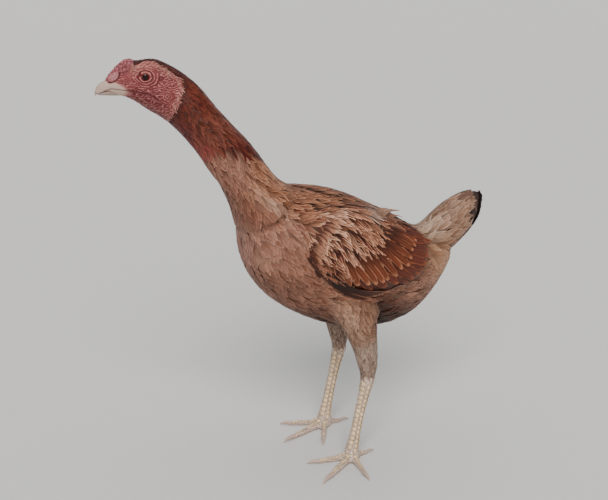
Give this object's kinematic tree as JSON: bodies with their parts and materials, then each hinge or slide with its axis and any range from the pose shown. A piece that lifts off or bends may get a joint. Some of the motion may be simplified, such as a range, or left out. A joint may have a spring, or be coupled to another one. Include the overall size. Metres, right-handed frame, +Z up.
{
  "type": "game hen",
  "caption": "Life-size still model of a lean long-necked game hen, standing, neck stretched forward, wings folded.",
  "frame": {"origin": "middle of the hen's box, at floor level under the feet", "axes": "+Z up, -X towards the bill, +Y towards the hen's right side"},
  "size_m": [0.4248, 0.1624, 0.4524],
  "materials": {
    "rusty_feather": "matt overlapping feathers, rusty brown with pale shafts and edges",
    "mahogany_feather": "dark mahogany feathers with a low sheen",
    "buff_feather": "soft matt buff feathers",
    "bare_face_skin": "bare wrinkled red skin, slightly moist",
    "comb_skin": "granular red skin",
    "scaled_leg_skin": "horny scales, satin",
    "pale_horn": "smooth translucent-looking horn, satin",
    "eye_surface": "wet and clear over a reddish iris"
  },
  "bodies": {
    "root": {"trunk": "rusty_feather", "neck": "mahogany_feather", "head": "bare_face_skin", "comb": "comb_skin", "bill_upper": "pale_horn", "bill_lower": "pale_horn", "eye_left": "eye_surface", "eye_right": "eye_surface", "wing_left": "mahogany_feather", "wing_right": "mahogany_feather", "tail": "buff_feather", "thigh_left": "rusty_feather", "thigh_right": "rusty_feather", "shank_left": "scaled_leg_skin", "shank_right": "scaled_leg_skin", "foot_left": "scaled_leg_skin", "foot_right": "scaled_leg_skin", "claw_left_inner": "pale_horn", "claw_left_middle": "pale_horn", "claw_left_outer": "pale_horn", "claw_left_hind": "pale_horn", "claw_right_inner": "pale_horn", "claw_right_middle": "pale_horn", "claw_right_outer": "pale_horn", "claw_right_hind": "pale_horn"}
  },
  "joints": []
}
